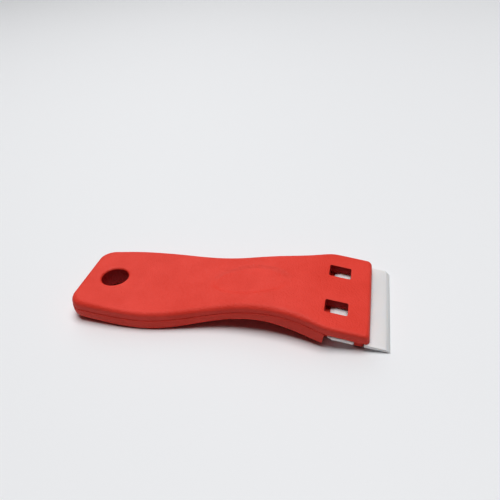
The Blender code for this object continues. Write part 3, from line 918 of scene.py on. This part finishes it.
# %% Wings and lugs
NOTCH_WIDTH = 3.2 * MM
NOTCH_DEPTH = 2.2 * MM
LUG_CLEARANCE = 0.3 * MM
LUG_SETBACK = 0.15 * MM
LUG_SOFTENING = 0.15 * MM
LUG_INSET = 0.05 * MM
WING_SETBACK = 1.1 * MM
WING_LIFT = 0.9 * MM
WING_ROOT = 1.0 * MM
lug_half = NOTCH_WIDTH / 2 - LUG_CLEARANCE
wing_y = BLADE_LENGTH / 2 - WING_SETBACK
lug_inner = BLADE_LENGTH / 2 - NOTCH_DEPTH + LUG_CLEARANCE
lug_top = JAW_THICKNESS + SEAT_GAP + BLADE_THICKNESS - LUG_SETBACK
wing = (0.0, JAW_HALF_WIDTH - WING_ROOT, WING_LIFT, JAW_THICKNESS - LUG_INSET)
lug = (LUG_INSET, lug_inner, WING_LIFT + 3 * LUG_SOFTENING, lug_top)
for side in (-1, 1):
    for inset, inner_y, low_z, high_z in (wing, lug):
        near_y, far_y = sorted((side * inner_y, side * (wing_y - inset)))
        block = add_block((BLADE_MIDDLE_X - lug_half + inset, near_y, low_z),
                          (BLADE_MIDDLE_X + lug_half - inset, far_y, high_z))
        edit(block)
        bpy.ops.mesh.select_all(action="SELECT")
        bevel_edges(LUG_SOFTENING, segments=2)
        leave_edit()
        carve(lower, block, "UNION")
print("lugs reach", round(lug_top / MM, 2), "mm up on the flat plate")

# %% [markdown]
# The lower half is bored for the boss, with a wider step at the bottom where the boss's lip snaps
# over a ledge. The key runs in an arc-shaped pocket beside the bore. A pocket like that is what
# the spin operator is for: one upright rectangle, turned about the hinge through the swing of the
# handle, sweeps out exactly the room that the key needs. With no window open, spin turns the
# other way, so its axis points down.

# %% Bore and counterbore
bore_radius = boss_radius + TURNING_CLEARANCE
seam_z = LOWER_THICKNESS + SEAM_GAP
ledge_z = seam_z - boss_drop + LIP_HEIGHT + TURNING_CLEARANCE
carve(lower, add_cylinder(bore_radius, -OVERSHOOT, LOWER_THICKNESS + OVERSHOOT))
carve(lower, add_cylinder(bore_radius + LIP_REACH, -OVERSHOOT, ledge_z))
print("bore radius", round(bore_radius / MM, 2), "mm, ledge at", round(ledge_z / MM, 2), "mm")

# %% Key pocket
SWING = math.radians(frame["joints"][0]["range_deg"][1])
POCKET_STEPS = 24
slack = (KEY_WIDTH / 2 + TURNING_CLEARANCE) / boss_radius
pocket_low = seam_z - KEY_HEIGHT - TURNING_CLEARANCE
pocket_high = LOWER_THICKNESS + OVERSHOOT
pocket_reach = key_tip + TURNING_CLEARANCE - key_root
pocket_radius = key_root + pocket_reach / 2
pocket_start = PIVOT + Matrix.Rotation(-slack, 3, "Z") @ Vector((pocket_radius, 0, 0))
pocket_start.z = (pocket_low + pocket_high) / 2
bpy.ops.mesh.primitive_plane_add(size=1, location=pocket_start, rotation=(math.pi / 2, 0, -slack))
pocket = bpy.context.object
pocket.scale = (pocket_reach, pocket_high - pocket_low, 1)
bpy.ops.object.transform_apply(location=True, rotation=True, scale=True)
edit(pocket)
bpy.ops.mesh.select_all(action="SELECT")
bpy.ops.mesh.spin(steps=POCKET_STEPS, angle=SWING + 2 * slack, center=(PIVOT.x, 0, 0),
                  axis=(0, 0, -1))
bpy.ops.mesh.select_all(action="SELECT")
bpy.ops.mesh.normals_make_consistent(inside=False)
leave_edit()
carve(lower, pocket)
print("pocket swept through", round(math.degrees(SWING + 2 * slack), 1), "degrees")

# %% [markdown]
# The lower plate is sliced like the upper one, but its two faces go to different curves: the
# outside to the arch underneath, the inside to the mating face. Points between the two are shared
# out in proportion, so the fillets keep their radius and the wall between them just gets thicker
# or thinner. In front of the neck the same is done between the jaw's underside and the blade's
# seat. The neck's two shoulders lean forward towards their top.

# %% Slice and arch the lower half
NECK_LEAN = 0.8 * MM


def arch_lower(place):
    """Where a point of the flat lower half lies on the arched one."""
    x, y, z = place
    low = bottom_height(x)
    at_jaw_root = x > NECK_X - TINY and z < JAW_THICKNESS + TINY and abs(y) < JAW_HALF_WIDTH
    if x > NECK_X + TINY or at_jaw_root:
        seat = jaw_seat(x)
        above = max(z - JAW_THICKNESS, 0.0) / math.cos(BLADE_ANGLE)
        return Vector((x, y, low + (seat - low) * min(z / JAW_THICKNESS, 1.0) + above))
    high = seam_height(x, y) - SEAM_GAP - LOWER_THICKNESS
    fillet = bottom_fillet(x)
    share = (z - fillet) / (LOWER_THICKNESS - SEAM_CHAMFER - fillet)
    share = min(max(share, 0.0), 1.0)
    on_shoulder = x > NECK_X - TINY and abs(y) > JAW_HALF_WIDTH
    lean = NECK_LEAN * share if on_shoulder else 0.0
    return Vector((x + lean, y, z + low * (1 - share) + high * share))


edit(lower)
slice_piece(across(TAIL_X, NECK_X, STATION_STEP), (1, 0, 0))
slice_piece(across(NECK_X, JAW_FRONT_X, STATION_STEP), (1, 0, 0))
slice_piece(along(HEAD_HALF_WIDTH, LENGTHWISE_STEP), (0, 1, 0))
leave_edit()
arch(lower, arch_lower)
close_up(lower)

# %% [markdown]
# ## The blade
#
# The blade is a flat strip of hard white plastic with a chisel edge along both long sides, so
# that it can be turned round when one edge wears. Two opposite corners are cut off, and a notch
# in the middle of each end takes a lug. It is drawn flat like the others, then each edge is made
# with one slanting slice that also throws the waste away, and all the corners get a tiny bevel to
# catch the light.

# %% Blade, flat
BEVEL_DEPTH = 1.6 * MM
EDGE_THICKNESS = 0.3 * MM
CORNER_CUT_DEPTH = 1.5 * MM
CORNER_CUT_LENGTH = 0.8 * MM
EDGE_SOFTENING = 0.07 * MM

blade_half_depth, blade_half_length = BLADE_DEPTH / 2, BLADE_LENGTH / 2
notch_y = blade_half_length - NOTCH_DEPTH
half_turn = [(blade_half_depth, 0.0), (blade_half_depth, blade_half_length - CORNER_CUT_LENGTH),
             (blade_half_depth - CORNER_CUT_DEPTH, blade_half_length),
             (NOTCH_WIDTH / 2, blade_half_length), (NOTCH_WIDTH / 2, notch_y),
             (-NOTCH_WIDTH / 2, notch_y), (-NOTCH_WIDTH / 2, blade_half_length),
             (-blade_half_depth, blade_half_length)]
blade_outline = half_turn + [(-x, -y) for x, y in half_turn]
blade = add_plate("blade_fine", blade_outline, 0.0, BLADE_THICKNESS)
edit(blade)
bevel_slope = math.atan2(BLADE_THICKNESS - EDGE_THICKNESS, BEVEL_DEPTH)
for side in (-1, 1):
    bpy.ops.mesh.select_all(action="SELECT")
    bpy.ops.mesh.bisect(plane_co=(side * blade_half_depth, 0, EDGE_THICKNESS),
                        plane_no=(side * math.sin(bevel_slope), 0, math.cos(bevel_slope)),
                        use_fill=True, clear_outer=True, threshold=TINY)
leave_edit()
print("blade corners:", len(blade.data.vertices))

# %% Soften, tilt and place the blade
SOFTENED_ANGLE = math.radians(20)

soften = blade.modifiers.new("soften", "BEVEL")
soften.width = EDGE_SOFTENING
soften.segments = 2
soften.limit_method = "ANGLE"
soften.angle_limit = SOFTENED_ANGLE
apply_modifier(blade, soften)
blade.rotation_euler = (0, BLADE_ANGLE, 0)
blade.location = (BLADE_MIDDLE_X, 0, blade_half_depth * math.sin(BLADE_ANGLE))
bpy.ops.object.select_all(action="DESELECT")
blade.select_set(True)
bpy.ops.object.transform_apply(location=True, rotation=True, scale=True)
close_up(blade)

# %% [markdown]
# ## Red handle plastic
#
# The handle is polypropylene, moulded in a tool with a spark-eroded surface. That leaves a fine,
# even grain, which scatters the light: the red looks matte, with only a broad pale sheen, and
# where the rim turns away from the light the grain breaks the edge of the shade into tiny dots.
# The real grain is about a tenth of a millimetre, too fine for this picture, so it is drawn six
# times as coarse. The pigment is one even red that drifts very slightly over a centimetre or so,
# the way the melt flowed. Moulded parts also carry a few dark specks of burnt plastic, each about
# half a millimetre wide.

# %% Colour of the red plastic
RED = "E84A3C"
RED_DEEP = "E24435"
CLOUD_SIZE = 9.0 * MM

red, tree, red_shader = start_material("red_polypropylene")
place = add_node(tree, "ShaderNodeTexCoord").outputs["Object"]
clouds = add_node(tree, "ShaderNodeTexNoise", inputs={
    "Vector": place, "Scale": 1 / CLOUD_SIZE, "Detail": 3.0})
drift = add_node(tree, "ShaderNodeMapRange", inputs={
    "Value": clouds.outputs["Fac"], "From Min": 0.35, "From Max": 0.65})
colour = add_node(tree, "ShaderNodeMix", {"data_type": "RGBA"}, {
    "Factor": drift.outputs["Result"], "A": linear(RED), "B": linear(RED_DEEP)})
print(red.name, "drifts over", round(CLOUD_SIZE / MM, 1), "mm")

# %% Specks, and the painted shade on the walls of hole and windows
SPECK_RED = "7E1A14"
# Painted shade: a deeper red for the walls of the hole and windows, standing in for the shade in
# those recesses.
PAINTED_SHADE_RED = "A40A0C"
SPECK_SPACING = 13.0 * MM
SPECK_RADIUS = 0.28 * MM
SPECK_SHARE = 0.3

cells = add_node(tree, "ShaderNodeTexVoronoi", inputs={
    "Vector": place, "Scale": 1 / SPECK_SPACING})
speck = add_node(tree, "ShaderNodeMapRange", inputs={
    "Value": cells.outputs["Distance"], "From Min": SPECK_RADIUS / SPECK_SPACING, "From Max": 0.0})
lot = add_node(tree, "ShaderNodeSeparateColor", inputs={"Color": cells.outputs["Color"]})
drawn = add_node(tree, "ShaderNodeMath", {"operation": "LESS_THAN"}, {
    0: lot.outputs["Red"], 1: SPECK_SHARE})
dirt = add_node(tree, "ShaderNodeMath", {"operation": "MULTIPLY"}, {
    0: speck.outputs["Result"], 1: drawn.outputs["Value"]})
specked = add_node(tree, "ShaderNodeMix", {"data_type": "RGBA"}, {
    "Factor": dirt.outputs["Value"], "A": colour.outputs["Result"], "B": linear(SPECK_RED)})
# Painted shade: the marked faces of the hole and windows take the deeper red instead of the
# plastic's own colour.
painted_shade_mask = add_node(tree, "ShaderNodeAttribute", {"attribute_name": "painted_shade_mask"})
with_painted_shade = add_node(tree, "ShaderNodeMix", {"data_type": "RGBA"}, {
    "Factor": painted_shade_mask.outputs["Fac"], "A": specked.outputs["Result"], "B": linear(PAINTED_SHADE_RED)})
tree.links.new(with_painted_shade.outputs["Result"], red_shader.inputs["Base Color"])
print("a speck may stand every", round(SPECK_SPACING / MM, 1), "mm")

# %% Surface of the red plastic
GRAIN_SIZE = 0.6 * MM
GRAIN_DEPTH = 0.24 * MM

grain = add_node(tree, "ShaderNodeTexNoise", inputs={
    "Vector": place, "Scale": 1 / GRAIN_SIZE, "Detail": 2.0, "Roughness": 0.6})
bump = add_node(tree, "ShaderNodeBump", inputs={
    "Height": grain.outputs["Fac"], "Distance": GRAIN_DEPTH})
tree.links.new(bump.outputs["Normal"], red_shader.inputs["Normal"])
# Typical for a grained moulding: a broad, weak shine.
red_shader.inputs["Roughness"].default_value = 0.55
red_shader.inputs["IOR"].default_value = 1.49
red_shader.inputs["Specular IOR Level"].default_value = 0.35
print("grain of", round(GRAIN_SIZE / MM, 2), "mm")

# %% [markdown]
# ## White blade plastic
#
# The blade is acetal, a hard, slippery white plastic that is a little translucent: light goes in
# and comes out again a millimetre or two away. That is what keeps its thin edges from looking
# like chalk, and lets it pick up a pink glow next to the red. The shader's subsurface setting
# does just that. The mould is polished, so the faces have a soft gloss, a little duller where the
# blade has been handled.

# %% White plastic
WHITE = "ECE9E8"
HAZE_SIZE = 6.0 * MM
GLOW_DEPTH = 2.0 * MM

white, tree, white_shader = start_material("white_acetal")
place = add_node(tree, "ShaderNodeTexCoord").outputs["Object"]
haze = add_node(tree, "ShaderNodeTexNoise", inputs={"Vector": place, "Scale": 1 / HAZE_SIZE})
gloss = add_node(tree, "ShaderNodeMapRange", inputs={
    "Value": haze.outputs["Fac"], "To Min": 0.28, "To Max": 0.42})
tree.links.new(gloss.outputs["Result"], white_shader.inputs["Roughness"])
white_shader.inputs["Base Color"].default_value = linear(WHITE)
white_shader.inputs["IOR"].default_value = 1.48
white_shader.inputs["Subsurface Weight"].default_value = 0.7
white_shader.inputs["Subsurface Radius"].default_value = (1.0, 0.85, 0.75)
white_shader.inputs["Subsurface Scale"].default_value = GLOW_DEPTH
print(white.name, "glows", round(GLOW_DEPTH / MM, 1), "mm deep")

# %% [markdown]
# ## Put it together
#
# Each fine piece takes the place of its imported node and rides on the body that carries that node.
# The name of the finish it wears is only printed.

# %% Materials and bodies
for piece, node, body, material, slot in (
        (upper, "upper_half", "upper_half", red, "red_plastic"),
        (lower, "lower_half", "lower_half", red, "red_plastic"),
        (blade, "blade", "lower_half", white, "white_plastic")):
    piece.data.materials.clear()
    piece.data.materials.append(material)
    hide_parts(node)
    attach(piece, body)
    print(piece.name, "rides on", body, "in", slot)
